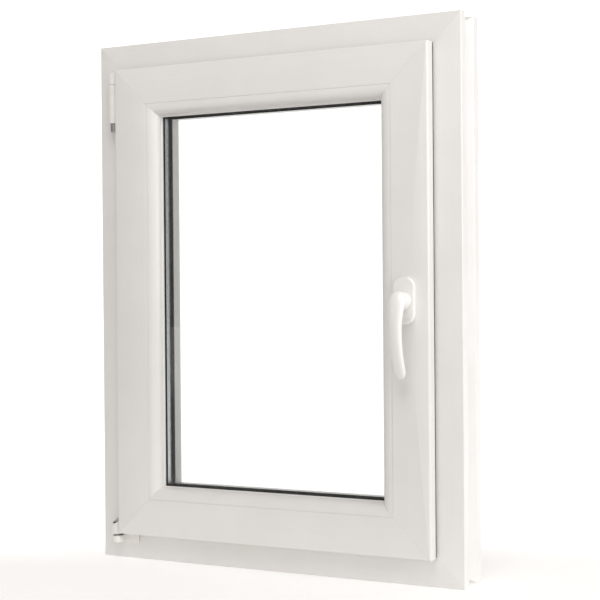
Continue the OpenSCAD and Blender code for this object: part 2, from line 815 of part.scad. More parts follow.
// Angle plates that carry the drive round the two corners on the lock side
module corner_drives() {
    color("#c4c7ca") for (side = ["head", "sill"]) {
        corner_z = side == "head" ? frame_h - body_u : body_u;
        leg_z = side == "head" ? frame_h - face_split + play : face_split - play;
        inset_z = side == "head" ? corner_z - plate_t : corner_z + plate_t;
        straight(side, frame_w / 2 - face_split + play, frame_w / 2 - body_u) plate_profile();
        straight("lock", leg_z, inset_z) plate_profile();
    }
}
// The spring-steel bands inside them, which bend with the drive
module drive_bands() {
    bend_r = 13;
    u0 = rod_u;
    leg = drive_leg - 8;
    color("#8f9396") for (side = ["head", "sill"]) {
        mirrored = side == "head" ? 1 : 0;
        translate([0, 0, mirrored * frame_h]) mirror([0, 0, mirrored])
            translate([frame_w / 2 - u0, drive_v, u0]) {
                translate([-leg, -rod_w / 2 + 1, 0]) cube([leg - bend_r, rod_w - 2, band_t]);
                translate([-band_t, -rod_w / 2 + 1, bend_r]) cube([band_t, rod_w - 2, leg - bend_r]);
                translate([-bend_r, rod_w / 2 - 1, bend_r]) rotate([90, 0, 0])
                    rotate_extrude(angle = -90) translate([bend_r - band_t, 0]) square([band_t, rod_w - 2]);
            }
    }
}

// A rod between two places along a side, notched at both ends to pass the faceplate screws
module rod(side, from, to) {
    notch = 14;
    difference() {
        straight(side, from, to)
            rect(rod_u, rod_u + rod_t, drive_v - rod_w / 2, drive_v + rod_w / 2);
        for (end = [[from - 1, from + notch], [to - notch, to + 1]])
            straight(side, end[0], end[1])
                rect(rod_u - 1, rod_u + rod_t + 1, drive_v - screw_d / 2 - 1, drive_v + screw_d / 2 + 1);
    }
}
// The rack's spaces are cut right through the lock rod
module rod_lock() {
    function space_half(u) = tooth_pitch / 4 + tooth_slack + (u - pitch_u) * tan(pressure);
    u0 = rod_u - 0.5;
    u1 = rod_u + rod_t + 0.5;
    color("#a9adb0") difference() {
        rod("lock", face_split + travel + 2, frame_h - face_split - 2);
        for (i = rack_spaces) translate([frame_w / 2, drive_v, handle_z + i * tooth_pitch])
            rotate([90, 0, 0]) linear_extrude(rod_w - 3, center = true) polygon([
                [-u0, -space_half(u0)], [-u1, -space_half(u1)], [-u1, space_half(u1)], [-u0, space_half(u0)]
            ]);
    }
}
module rod_top() {
    color("#a9adb0") rod("head", guide_end + 2, frame_w / 2 - face_split - travel - 2);
}
module rod_bottom() {
    color("#a9adb0") rod("sill", cam_bottom_x - 52, frame_w / 2 - face_split + 2);
}
module cam(side, place) {
    color("#d0d3d5") on_side(side) translate([along(side, place), drive_v, 0]) {
        translate([0, 0, cam_tip_u]) cylinder(d = cam_d, h = rod_u - cam_tip_u);
    }
}

// ---------------------------------------------------------------- handle
function roll(a) = tan(a) * 180 / PI - a;
function flank(r) =
    90 / pinion_teeth - tooth_slack / pitch_r * 180 / PI + roll(pressure) - roll(acos(min(1, base_r / r)));
function polar(r, a) = r * [cos(a), sin(a)];
flank_radii = [for (i = [0:4]) base_r + (tip_r - base_r) * i / 4];
pinion_outline = [for (k = [0:pinion_teeth - 1]) let (c = k * 360 / pinion_teeth)
    each concat(
        [polar(root_r, c - flank(base_r))],
        [for (r = flank_radii) polar(r, c - flank(r))],
        [for (i = [4:-1:0]) polar(flank_radii[i], c + flank(flank_radii[i]))],
        [polar(root_r, c + flank(base_r))]
    )];
module drive_pinion() {
    tooth_w = rod_w - 4;
    color("#8f9396") on_handle() difference() {
        union() {
            translate([0, 0, drive_v - tooth_w / 2]) linear_extrude(tooth_w) polygon(pinion_outline);
            translate([0, 0, drive_v - rod_w / 2]) cylinder(r = pinion_hub_r, h = rod_w);
        }
        translate([0, 0, drive_v]) cube([spindle_s, spindle_s, channel_w], center = true);
    }
}
module gear_case() {
    back = spindle_u - case_back_u;
    top = spindle_u - case_top_u;
    depth = rod_w + 0.4;
    color("#b9bcbf") on_handle() difference() {
        translate([back, -case_half, drive_v - depth / 2]) cube([top - back, 2 * case_half, depth]);
        translate([back + case_wall, -tip_r - 2, drive_v - depth / 2 + case_wall])
            cube([top - back, 2 * (tip_r + 2), depth - 2 * case_wall]);
        translate([0, 0, drive_v - channel_w]) cylinder(r = pinion_hub_r + running, h = 2 * channel_w);
        handle_screw_places() translate([0, 0, drive_v - channel_w])
            cylinder(d = handle_screw_d, h = channel_w + 3);
    }
}

module oblong(w, h) {
    square([w, h - w], center = true);
    for (y = [-1, 1]) translate([0, y * (h - w) / 2]) circle(d = w);
}
module handle_base() {
    inset = 1.5;
    color("#d8d8d4") on_handle() difference() {
        translate([0, 0, front_v - rosette_t + inset]) linear_extrude(rosette_t - inset)
            oblong(rosette_w - 2 * inset, rosette_h - 2 * inset);
        translate([0, 0, front_v - rosette_t]) cylinder(r = neck_r + running, h = rosette_t + 1);
        handle_screw_places() {
            translate([0, 0, front_v - rosette_t]) cylinder(d = handle_screw_d, h = rosette_t + 1);
            translate([0, 0, front_v - rosette_t]) cylinder(d = 9, h = 4.5);
        }
    }
}
module handle_cover() {
    inset = 1.5;
    color("#f4f4f2") on_handle() difference() {
        translate([0, 0, front_v - rosette_t]) linear_extrude(rosette_t) oblong(rosette_w, rosette_h);
        translate([0, 0, front_v - rosette_t + inset]) linear_extrude(rosette_t)
            oblong(rosette_w - 2 * inset, rosette_h - 2 * inset);
        translate([0, 0, front_v - rosette_t - 1]) cylinder(r = neck_r + 2 + play, h = rosette_t);
    }
}
module handle_screws() {
    seat = front_v - rosette_t + 4.5;
    color("#8f9396") on_handle() handle_screw_places() {
        translate([0, 0, seat]) cylinder(d = handle_screw_d, h = drive_v - channel_w / 2 + 9 - seat);
        difference() {
            translate([0, 0, seat - 2.6]) cylinder(d = 8.6, h = 2.6);
            translate([0, 0, seat - 3]) cylinder(d = 2.5, h = 2, $fn = 6);
        }
    }
}

function bezier(p, t) = pow(1 - t, 3) * p[0] + 3 * pow(1 - t, 2) * t * p[1]
    + 3 * (1 - t) * t * t * p[2] + pow(t, 3) * p[3];
function lever_edge(t, sign) =
    let (
        at = bezier(lever_curve, t),
        ahead = unit(bezier(lever_curve, t + 0.01) - bezier(lever_curve, t - 0.01)),
        half = (lever_thick[0] + (lever_thick[1] - lever_thick[0]) * t) / 2
    )
    at + sign * half * [ahead[1], -ahead[0]];
module lever_front() {
    circle(r = 12);
    polygon([[-11.5, 0], [11.5, 0], [8.6, 34], [8, 60], [9, 99], [-9, 99], [-8, 60], [-8.6, 34]]);
    translate([0, 99]) circle(r = 9);
}
module handle_lever() {
    side = concat(
        [for (i = [0:14]) lever_edge(i / 14, 1)],
        [for (i = [14:-1:0]) lever_edge(i / 14, -1)]
    );
    color("#f4f4f2") on_handle() {
        difference() {
            union() {
                intersection() {
                    translate([0, 0, front_v]) rotate([0, -90, 0]) rotate([0, 0, 180])
                        linear_extrude(30, center = true) polygon([for (p = side) [p[0], -p[1]]]);
                    translate([0, 0, front_v - 60]) linear_extrude(60) lever_front();
                }
                translate([0, 0, front_v - 34]) cylinder(r = neck_r + 2, h = 34 - rosette_t - play + 1.3);
                translate([0, 0, front_v - 30]) cylinder(r = neck_r, h = 30 - 1);
            }
            translate([0, 0, front_v - 28]) translate([-spindle_s / 2, -spindle_s / 2, 0])
                cube([spindle_s, spindle_s, 40]);
        }
    }
}
module handle_spindle() {
    start = front_v - 28;
    color("#8f9396") on_handle() translate([-spindle_s / 2, -spindle_s / 2, start])
        cube([spindle_s, spindle_s, drive_v + rod_w / 2 - start]);
}

frame_sill();
frame_head();
frame_jamb("hinge");  // frame_jamb_hinge
frame_jamb("lock");  // frame_jamb_lock
frame_steel();
frame_seal();
keep_lock();
keep_top();
keep_tilt();
keep_screws();
stay_bearing();
stay_pin();
pivot_rest();
hinge_covers();
hinge_screws();
drain_caps();
pivot_pin();
rest_bush();
stay_bush();
stay_arm();
stay_arm_cap();
stay_stud();
sash_rail_bottom();
sash_rail_top();
sash_stile_hinge();
sash_stile_lock();
sash_steel();
bead("sill");  // bead_bottom
bead("head");  // bead_top
bead("hinge");  // bead_hinge
bead("lock");  // bead_lock
bead_seal();
glazing_seal();
glass_inner();
glass_outer();
glass_spacer();
glass_sealant();
glazing_packers();
sash_seal();
corner_band();
corner_band_cap();
corner_band_screws();
stay_guide();
faceplates();
faceplate_screws();
corner_drives();
drive_bands();
gear_case();
handle_base();
handle_cover();
handle_screws();
handle_lever();
handle_spindle();
drive_pinion();
rod_lock();
rod_top();
rod_bottom();
cam("lock", cam_lock_z);  // cam_lock
cam("head", cam_top_x);  // cam_top
cam("sill", cam_bottom_x);  // cam_bottom
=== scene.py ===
"""Looks for a tilt-and-turn casement window of white plastic profile, seen from the room."""

import json
import math

import bmesh
import bpy
from mathutils import Matrix, Vector

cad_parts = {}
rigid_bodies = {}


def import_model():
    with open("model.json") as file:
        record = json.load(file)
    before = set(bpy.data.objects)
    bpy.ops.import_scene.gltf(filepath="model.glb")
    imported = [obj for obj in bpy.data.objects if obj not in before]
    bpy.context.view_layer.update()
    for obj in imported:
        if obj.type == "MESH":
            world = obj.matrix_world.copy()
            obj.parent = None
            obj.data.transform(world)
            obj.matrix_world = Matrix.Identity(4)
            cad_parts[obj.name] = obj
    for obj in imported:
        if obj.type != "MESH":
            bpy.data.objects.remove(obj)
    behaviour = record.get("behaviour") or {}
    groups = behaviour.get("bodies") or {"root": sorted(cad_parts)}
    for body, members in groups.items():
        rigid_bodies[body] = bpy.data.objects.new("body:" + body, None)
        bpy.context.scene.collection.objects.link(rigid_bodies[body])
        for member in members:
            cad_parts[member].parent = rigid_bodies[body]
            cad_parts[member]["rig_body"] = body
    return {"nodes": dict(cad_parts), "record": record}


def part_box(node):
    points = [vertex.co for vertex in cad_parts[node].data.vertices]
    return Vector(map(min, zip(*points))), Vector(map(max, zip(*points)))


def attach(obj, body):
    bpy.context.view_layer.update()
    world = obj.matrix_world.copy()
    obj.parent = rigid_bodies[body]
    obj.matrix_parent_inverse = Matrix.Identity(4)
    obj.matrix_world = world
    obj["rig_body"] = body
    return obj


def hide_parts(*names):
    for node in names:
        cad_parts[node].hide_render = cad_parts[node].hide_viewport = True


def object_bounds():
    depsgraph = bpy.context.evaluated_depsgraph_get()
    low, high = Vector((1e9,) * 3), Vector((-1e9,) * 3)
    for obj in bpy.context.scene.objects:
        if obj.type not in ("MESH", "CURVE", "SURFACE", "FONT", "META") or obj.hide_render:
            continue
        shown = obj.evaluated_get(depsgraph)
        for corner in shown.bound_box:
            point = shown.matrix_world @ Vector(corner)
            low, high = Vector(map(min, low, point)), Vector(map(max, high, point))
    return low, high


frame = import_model()
cad_low, cad_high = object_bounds()

MM = 0.001
nodes = frame["nodes"]
half_width = cad_high.x
half_height = cad_high.z / 2


# ---------------------------------------------------------------- node building

# most of a noise pattern lies between these values, so a blend between them shows all of its contrast
STRONG = {"From Min": 0.3, "From Max": 0.7}
GENTLE = {"From Min": 0.25, "From Max": 0.75}


def linear(code):
    """An sRGB hex colour as the linear values that a shader takes."""
    parts = [int(code[i:i + 2], 16) / 255 for i in (1, 3, 5)]
    return tuple(c / 12.92 if c <= 0.04045 else ((c + 0.055) / 1.055) ** 2.4 for c in parts) + (1.0,)


def per_mm(size):
    """The scale of a pattern whose spots are this many millimetres across."""
    return 1 / (size * MM)


def add(tree, kind, settings):
    """Adds one node. A setting that is another node is linked from its first output, and one that is an
    output is linked from there."""
    made = tree.nodes.new(kind)
    for key, value in settings.items():
        if isinstance(key, str) and key not in made.inputs:
            setattr(made, key, value)
        elif isinstance(value, bpy.types.Node):
            tree.links.new(value.outputs[0], made.inputs[key])
        elif isinstance(value, bpy.types.NodeSocket):
            tree.links.new(value, made.inputs[key])
        else:
            made.inputs[key].default_value = value
    return made


def blank_material(name):
    """An empty material, its node tree, and the place coordinates that its patterns read."""
    material = bpy.data.materials.new(name)
    material.use_nodes = True
    tree = material.node_tree
    tree.nodes.clear()
    return material, tree, add(tree, "ShaderNodeTexCoord", {}).outputs["Object"]


# ---------------------------------------------------------------- materials

def extruded_pvc(name, stretch, low, high):
    """Extruded rigid PVC: a satin skin with faint die lines along the bar, clouded by handling, and a
    scraped weld line across each mitre."""
    material, tree, place = blank_material(name)
    # die lines are about 0.3 mm apart on the real bar, drawn 1.5 mm apart so that they show
    along_bar = add(tree, "ShaderNodeMapping", {"Vector": place, "Scale": stretch})
    die_lines = add(tree, "ShaderNodeTexNoise", {"Vector": along_bar, "Scale": per_mm(1.5), "Detail": 1.0})
    clouds = add(tree, "ShaderNodeTexNoise", {"Vector": place, "Scale": per_mm(70), "Detail": 3.0})

    # a mitre runs where the frame's side and its end are equally far away
    axes = add(tree, "ShaderNodeSeparateXYZ", {0: place}).outputs
    off_centre = add(tree, "ShaderNodeMath", {"operation": "ABSOLUTE", 0: axes["X"]})
    from_side = add(tree, "ShaderNodeMath", {"operation": "SUBTRACT", 0: half_width, 1: off_centre})
    above_middle = add(tree, "ShaderNodeMath", {"operation": "SUBTRACT", 0: axes["Z"], 1: half_height})
    off_middle = add(tree, "ShaderNodeMath", {"operation": "ABSOLUTE", 0: above_middle})
    from_end = add(tree, "ShaderNodeMath", {"operation": "SUBTRACT", 0: half_height, 1: off_middle})
    apart = add(tree, "ShaderNodeMath", {"operation": "SUBTRACT", 0: from_side, 1: from_end})
    off_mitre = add(tree, "ShaderNodeMath", {"operation": "ABSOLUTE", 0: apart})
    # the cleaned weld is a shallow groove about 1.6 mm wide
    weld = add(tree, "ShaderNodeMapRange", {
        "Value": off_mitre, "From Min": 0.5 * MM, "From Max": 1.3 * MM, "To Min": 1.0, "To Max": 0.0})
    beside_weld = add(tree, "ShaderNodeMath", {"operation": "SUBTRACT", 0: 1.0, 1: weld})

    lines_part = add(tree, "ShaderNodeMath", {"operation": "MULTIPLY", 0: die_lines, 1: 0.3})
    clouds_part = add(tree, "ShaderNodeMath", {"operation": "MULTIPLY", 0: clouds, 1: 0.7})
    marks = add(tree, "ShaderNodeMath", {"operation": "ADD", 0: lines_part, 1: clouds_part})
    tone = add(tree, "ShaderNodeMapRange", {**STRONG, "Value": marks})
    skin = add(tree, "ShaderNodeMix", {
        "data_type": "RGBA", 0: tone, 6: linear(low), 7: linear(high)}).outputs[2]
    weld_tone = add(tree, "ShaderNodeMath", {"operation": "MULTIPLY", 0: weld, 1: 0.2})
    weld_rough = add(tree, "ShaderNodeMath", {"operation": "MULTIPLY", 0: weld, 1: 0.15})
    skin_rough = add(tree, "ShaderNodeMapRange", {**GENTLE, "Value": clouds, "To Min": 0.3, "To Max": 0.38})
    ridges = add(tree, "ShaderNodeBump", {"Height": die_lines, "Distance": 0.003 * MM, "Strength": 1.0})
    shader = add(tree, "ShaderNodeBsdfPrincipled", {
        "Base Color": add(tree, "ShaderNodeMix", {
            "data_type": "RGBA", 0: weld_tone, 6: skin, 7: linear("#d9d6d2")}).outputs[2],
        "Roughness": add(tree, "ShaderNodeMath", {"operation": "ADD", 0: skin_rough, 1: weld_rough}),
        "IOR": 1.53,
        "Specular IOR Level": 0.45,
        "Normal": add(tree, "ShaderNodeBump", {
            "Height": beside_weld, "Distance": 0.02 * MM, "Strength": 1.0, "Normal": ridges})})
    add(tree, "ShaderNodeOutputMaterial", {"Surface": shader})
    return material


def moulded_plastic(name, low, high, grain_mm, depth_mm, rough):
    """Injection-moulded plastic: a fine spark-eroded grain from the mould, and a slightly uneven sheen."""
    material, tree, place = blank_material(name)
    grain = add(tree, "ShaderNodeTexNoise", {"Vector": place, "Scale": per_mm(grain_mm), "Detail": 2.0})
    clouds = add(tree, "ShaderNodeTexNoise", {"Vector": place, "Scale": per_mm(14), "Detail": 2.0})
    tone = add(tree, "ShaderNodeMapRange", {**STRONG, "Value": clouds})
    shader = add(tree, "ShaderNodeBsdfPrincipled", {
        "Base Color": add(tree, "ShaderNodeMix", {
            "data_type": "RGBA", 0: tone, 6: linear(low), 7: linear(high)}).outputs[2],
        "Roughness": add(tree, "ShaderNodeMapRange", {
            **GENTLE, "Value": grain, "To Min": rough - 0.06, "To Max": rough + 0.06}),
        "IOR": 1.5,
        "Normal": add(tree, "ShaderNodeBump", {"Height": grain, "Distance": depth_mm * MM, "Strength": 1.0})})
    add(tree, "ShaderNodeOutputMaterial", {"Surface": shader})
    return material


def powder_coat(name, low, high):
    """Polyester powder coat on cast aluminium: bright white, satin gloss, with a soft orange peel."""
    material, tree, place = blank_material(name)
    # orange peel is 0.5 to 1 mm across, drawn at 1.4 mm so that it shows
    peel = add(tree, "ShaderNodeTexNoise", {"Vector": place, "Scale": per_mm(1.4), "Detail": 1.0})
    clouds = add(tree, "ShaderNodeTexNoise", {"Vector": place, "Scale": per_mm(30), "Detail": 2.0})
    tone = add(tree, "ShaderNodeMapRange", {**STRONG, "Value": clouds})
    shader = add(tree, "ShaderNodeBsdfPrincipled", {
        "Base Color": add(tree, "ShaderNodeMix", {
            "data_type": "RGBA", 0: tone, 6: linear(low), 7: linear(high)}).outputs[2],
        "Roughness": add(tree, "ShaderNodeMapRange", {
            **GENTLE, "Value": clouds, "To Min": 0.26, "To Max": 0.33}),
        "IOR": 1.52,
        "Coat Weight": 0.25,
        "Coat Roughness": 0.12,
        "Coat IOR": 1.5,
        "Normal": add(tree, "ShaderNodeBump", {"Height": peel, "Distance": 0.012 * MM, "Strength": 1.0})})
    add(tree, "ShaderNodeOutputMaterial", {"Surface": shader})
    return material


def rubber(name, low, high, rough):
    """Extruded or cured black rubber: matt, with a faint grey bloom and fine pores."""
    material, tree, place = blank_material(name)
    bloom = add(tree, "ShaderNodeTexNoise", {"Vector": place, "Scale": per_mm(9), "Detail": 3.0})
    pores = add(tree, "ShaderNodeTexNoise", {"Vector": place, "Scale": per_mm(0.6), "Detail": 2.0})
    tone = add(tree, "ShaderNodeMapRange", {**STRONG, "Value": bloom})
    shader = add(tree, "ShaderNodeBsdfPrincipled", {
        "Base Color": add(tree, "ShaderNodeMix", {
            "data_type": "RGBA", 0: tone, 6: linear(low), 7: linear(high)}).outputs[2],
        "Roughness": add(tree, "ShaderNodeMapRange", {
            **GENTLE, "Value": bloom, "To Min": rough - 0.07, "To Max": rough + 0.07}),
        "IOR": 1.48,
        "Specular IOR Level": 0.35,
        "Sheen Weight": 0.08,
        "Sheen Roughness": 0.6,
        "Normal": add(tree, "ShaderNodeBump", {"Height": pores, "Distance": 0.02 * MM, "Strength": 1.0})})
    add(tree, "ShaderNodeOutputMaterial", {"Surface": shader})
    return material


def zinc_plate(name, low, high, rough):
    """Zinc-plated or turned steel: silver with soft bluish and warm patches and fine rolling marks."""
    material, tree, place = blank_material(name)
    patches = add(tree, "ShaderNodeTexNoise", {"Vector": place, "Scale": per_mm(11), "Detail": 3.0})
    marks = add(tree, "ShaderNodeTexNoise", {"Vector": place, "Scale": per_mm(1.1), "Detail": 2.0})
    patches_part = add(tree, "ShaderNodeMath", {"operation": "MULTIPLY", 0: patches, 1: 0.7})
    marks_part = add(tree, "ShaderNodeMath", {"operation": "MULTIPLY", 0: marks, 1: 0.3})
    mixed = add(tree, "ShaderNodeMath", {"operation": "ADD", 0: patches_part, 1: marks_part})
    tone = add(tree, "ShaderNodeMapRange", {**STRONG, "Value": mixed})
    shader = add(tree, "ShaderNodeBsdfPrincipled", {
        "Metallic": 1.0,
        "Base Color": add(tree, "ShaderNodeMix", {
            "data_type": "RGBA", 0: tone, 6: linear(low), 7: linear(high)}).outputs[2],
        "Roughness": add(tree, "ShaderNodeMapRange", {
            **GENTLE, "Value": marks, "To Min": rough - 0.07, "To Max": rough + 0.08}),
        "Normal": add(tree, "ShaderNodeBump", {"Height": marks, "Distance": 0.01 * MM, "Strength": 1.0})})
    add(tree, "ShaderNodeOutputMaterial", {"Surface": shader})
    return material


def galvanised_steel(name):
    """Hot-dip galvanised strip: dull grey with crystal spangle 6 to 10 mm across."""
    material, tree, place = blank_material(name)
    spangle = add(tree, "ShaderNodeTexVoronoi", {"Vector": place, "Scale": per_mm(7), "Randomness": 1.0})
    shade = add(tree, "ShaderNodeSeparateColor", {0: spangle.outputs["Color"]})
    tone = add(tree, "ShaderNodeMapRange", {"Value": shade, "From Min": 0.0, "From Max": 1.0})
    pits = add(tree, "ShaderNodeTexNoise", {"Vector": place, "Scale": per_mm(1.5), "Detail": 2.0})
    shader = add(tree, "ShaderNodeBsdfPrincipled", {
        "Metallic": 1.0,
        "Base Color": add(tree, "ShaderNodeMix", {
            "data_type": "RGBA", 0: tone, 6: linear("#8d9296"), 7: linear("#b9bdc0")}).outputs[2],
        "Roughness": add(tree, "ShaderNodeMapRange", {
            **GENTLE, "Value": shade, "To Min": 0.38, "To Max": 0.55}),
        "Normal": add(tree, "ShaderNodeBump", {"Height": pits, "Distance": 0.01 * MM, "Strength": 1.0})})
    add(tree, "ShaderNodeOutputMaterial", {"Surface": shader})
    return material


def spacer_aluminium(name):
    """Mill-finish aluminium spacer bar: drawn lines along it and a row of fine vent holes."""
    material, tree, place = blank_material(name)
    along_bar = add(tree, "ShaderNodeMapping", {"Vector": place, "Scale": (1.0, 1.0, 0.15)})
    drawn = add(tree, "ShaderNodeTexNoise", {"Vector": along_bar, "Scale": per_mm(0.8), "Detail": 1.0})

    # vent holes are about 0.7 mm long, 3 mm apart and 1 mm wide, in the middle of the bar
    spacer_low, spacer_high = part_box("glass_spacer")
    middle = (spacer_low.y + spacer_high.y) / 2
    axes = add(tree, "ShaderNodeSeparateXYZ", {0: place}).outputs
    to_back = add(tree, "ShaderNodeMath", {"operation": "SUBTRACT", 0: axes["Y"], 1: middle})
    off_middle = add(tree, "ShaderNodeMath", {"operation": "ABSOLUTE", 0: to_back})
    in_row = add(tree, "ShaderNodeMath", {"operation": "LESS_THAN", 0: off_middle, 1: 0.5 * MM})
    along = add(tree, "ShaderNodeMath", {"operation": "ADD", 0: axes["X"], 1: axes["Z"]})
    off_hole = add(tree, "ShaderNodeMath", {"operation": "PINGPONG", 0: along, 1: 1.5 * MM})
    in_hole = add(tree, "ShaderNodeMath", {"operation": "LESS_THAN", 0: off_hole, 1: 0.35 * MM})
    holes = add(tree, "ShaderNodeMath", {"operation": "MULTIPLY", 0: in_row, 1: in_hole})

    tone = add(tree, "ShaderNodeMapRange", {**STRONG, "Value": drawn})
    metal = add(tree, "ShaderNodeMix", {
        "data_type": "RGBA", 0: tone, 6: linear("#b4b8ba"), 7: linear("#d6d9da")}).outputs[2]
    relief = add(tree, "ShaderNodeMath", {"operation": "SUBTRACT", 0: drawn, 1: holes})
    shader = add(tree, "ShaderNodeBsdfPrincipled", {
        "Metallic": 1.0,
        "Base Color": add(tree, "ShaderNodeMix", {
            "data_type": "RGBA", 0: holes, 6: metal, 7: linear("#26282a")}).outputs[2],
        "Roughness": add(tree, "ShaderNodeMapRange", {
            **GENTLE, "Value": drawn, "To Min": 0.26, "To Max": 0.4}),
        "Normal": add(tree, "ShaderNodeBump", {"Height": relief, "Distance": 0.02 * MM, "Strength": 1.0})})
    add(tree, "ShaderNodeOutputMaterial", {"Surface": shader})
    return material


def float_glass(name):
    """Clear float glass: nearly colourless, with a polished skin and faint draw waves."""
    material, tree, place = blank_material(name)
    haze = add(tree, "ShaderNodeTexNoise", {"Vector": place, "Scale": per_mm(60), "Detail": 1.0})
    waves = add(tree, "ShaderNodeTexNoise", {"Vector": place, "Scale": per_mm(120), "Detail": 1.0})
    shader = add(tree, "ShaderNodeBsdfPrincipled", {
        "Base Color": linear("#fdfefe"),
        "Roughness": add(tree, "ShaderNodeMapRange", {
            **GENTLE, "Value": haze, "To Min": 0.0, "To Max": 0.008}),
        "IOR": 1.52,
        "Transmission Weight": 1.0,
        "Normal": add(tree, "ShaderNodeBump", {"Height": waves, "Distance": 0.004 * MM, "Strength": 1.0})})
    add(tree, "ShaderNodeOutputMaterial", {"Surface": shader})
    return material


# the die lines run along each bar, so bars across and upright bars have their own PVC
pvc_bar_across = extruded_pvc("extruded PVC, bars across", (0.004, 1.0, 1.0), "#e9e7e4", "#eeecea")
pvc_bar_upright = extruded_pvc("extruded PVC, bars upright", (1.0, 1.0, 0.004), "#e9e7e4", "#eeecea")
cap_plastic = moulded_plastic("moulded white ABS", "#ece9e5", "#f3f1ee", 0.7, 0.01, 0.34)
base_plastic = moulded_plastic("moulded grey polyamide", "#c5c5c1", "#d0d0cc", 0.8, 0.02, 0.5)
packer_plastic = moulded_plastic("moulded blue polypropylene", "#2c5aa0", "#3a6db5", 0.9, 0.02, 0.45)
bush_plastic = moulded_plastic("moulded black polyoxymethylene", "#101012", "#1b1b1d", 0.6, 0.01, 0.35)
white_powder_coat = powder_coat("white powder coat", "#f3f2f0", "#f7f6f4")
gasket_rubber = rubber("black EPDM rubber", "#0c0c0d", "#1c1c1e", 0.62)
sealant_rubber = rubber("black polysulfide sealant", "#0a0a0b", "#151516", 0.55)
zinc_hardware = zinc_plate("zinc-plated steel", "#aab0b5", "#d6d5cf", 0.34)
pin_steel = zinc_plate("turned steel", "#a5a4a2", "#c2c1be", 0.32)
steel_tube = galvanised_steel("galvanised steel")
spacer_metal = spacer_aluminium("mill-finish aluminium")
glass = float_glass("float glass")

SLOT_MATERIALS = {
    "pvc_white": pvc_bar_upright, "steel_galvanised": steel_tube, "gasket_black": gasket_rubber,
    "glass": glass, "spacer_aluminium": spacer_metal, "sealant_black": sealant_rubber,
    "packer_plastic": packer_plastic, "zinc_hardware": zinc_hardware, "steel_pins": pin_steel,
    "bush_black": bush_plastic, "cap_white": cap_plastic, "handle_white": white_powder_coat,
    "base_grey": base_plastic,
}
BARS_ACROSS = ("frame_sill", "frame_head", "sash_rail_bottom", "sash_rail_top", "bead_bottom", "bead_top")
BARS_UPRIGHT = ("frame_jamb_hinge", "frame_jamb_lock", "sash_stile_hinge", "sash_stile_lock",
                "bead_hinge", "bead_lock")


# ---------------------------------------------------------------- pieces

SLOTS = {part["node"]: part["material_slot"] for part in frame["record"]["subparts"]}


def dress(piece, name, slot, *replaced):
    """Puts a finished piece on the body of the CAD node that it follows, and hides the nodes that it replaces.
    The slot that it is given is not used.
    """
    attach(piece, nodes[name]["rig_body"])
    if replaced:
        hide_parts(*replaced)


def piece_from(shape, name, material, smooth_angle=32):
    """Makes a bmesh a finished piece, smooth over its shallow edges."""
    mesh = bpy.data.meshes.new(name)
    shape.to_mesh(mesh)
    shape.free()
    mesh.materials.append(material)
    mesh.shade_smooth()
    mesh.set_sharp_from_angle(angle=math.radians(smooth_angle))
    piece = bpy.data.objects.new(name, mesh)
    bpy.context.scene.collection.objects.link(piece)
    return piece


def merged_copy(name):
    """A CAD node's shape with its loose triangles joined and its flat faces made whole."""
    shape = bmesh.new()
    shape.from_mesh(nodes[name].data)
    bmesh.ops.remove_doubles(shape, verts=shape.verts, dist=2e-6)
    bmesh.ops.dissolve_limit(shape, angle_limit=math.radians(0.6), verts=shape.verts, edges=shape.edges)
    return shape


def soften(piece, width_mm, segments=2):
    """Rounds a piece's sharp edges with a small radius."""
    bevel = piece.modifiers.new("edge radius", "BEVEL")
    bevel.width = width_mm * MM
    bevel.segments = segments
    bevel.limit_method = "ANGLE"
    bevel.angle_limit = math.radians(34)
    bevel.harden_normals = True
    bevel.use_clamp_overlap = True
    bevel.miter_outer = "MITER_ARC"


def rounded(name, material, width_mm):
    """Makes a CAD node again, with the small edge radii that the real piece has."""
    piece = piece_from(merged_copy(name), name + "_rounded", material)
    soften(piece, width_mm, 5 if width_mm > 1 else 2)
    dress(piece, name, SLOTS[name], name)


def paint(name, material):
    """Gives a CAD node its material."""
    data = nodes[name].data
    data.materials.clear()
    data.materials.append(material)


# the edge radii in millimetres
ROUNDED = {
    "frame_sill": 0.35, "frame_head": 0.35, "frame_jamb_hinge": 0.35, "frame_jamb_lock": 0.35,
    "sash_rail_bottom": 0.45, "sash_rail_top": 0.45, "sash_stile_hinge": 0.45, "sash_stile_lock": 0.45,
    "bead_bottom": 0.2, "bead_top": 0.2, "bead_hinge": 0.2, "bead_lock": 0.2,
    "drain_caps": 0.4, "hinge_covers": 0.35, "stay_arm_cap": 0.35, "corner_band_cap": 0.35,
    "handle_cover": 1.1, "handle_base": 0.3,
    "stay_arm": 0.25, "stay_bearing": 0.25, "pivot_rest": 0.25, "corner_band": 0.25, "stay_guide": 0.2,
    "keep_lock": 0.3, "keep_top": 0.3, "keep_tilt": 0.3, "corner_drives": 0.25, "gear_case": 0.4,
    "faceplates": 0.2, "cam_lock": 0.4, "cam_top": 0.4, "cam_bottom": 0.4, "stay_stud": 0.25,
    "stay_pin": 0.25, "rod_lock": 0.15, "rod_top": 0.15, "rod_bottom": 0.15,
}


def curve_at(points, t):
    """A point on a cubic curve with these four control points, and its direction there."""
    a, b, c, d = (Vector(p) for p in points)
    place = a * (1 - t) ** 3 + b * 3 * t * (1 - t) ** 2 + c * 3 * t * t * (1 - t) + d * t ** 3
    along = (b - a) * 3 * (1 - t) ** 2 + (c - b) * 6 * t * (1 - t) + (d - c) * 3 * t * t
    return place, along.normalized()


def read_off(table, value):
    """A value read from a table of (position, value) rows, in a straight line from row to row."""
    for (x0, y0), (x1, y1) in zip(table, table[1:]):
        if value <= x1:
            return y0 + (y1 - y0) * max(0.0, value - x0) / (x1 - x0)
    return table[-1][1]


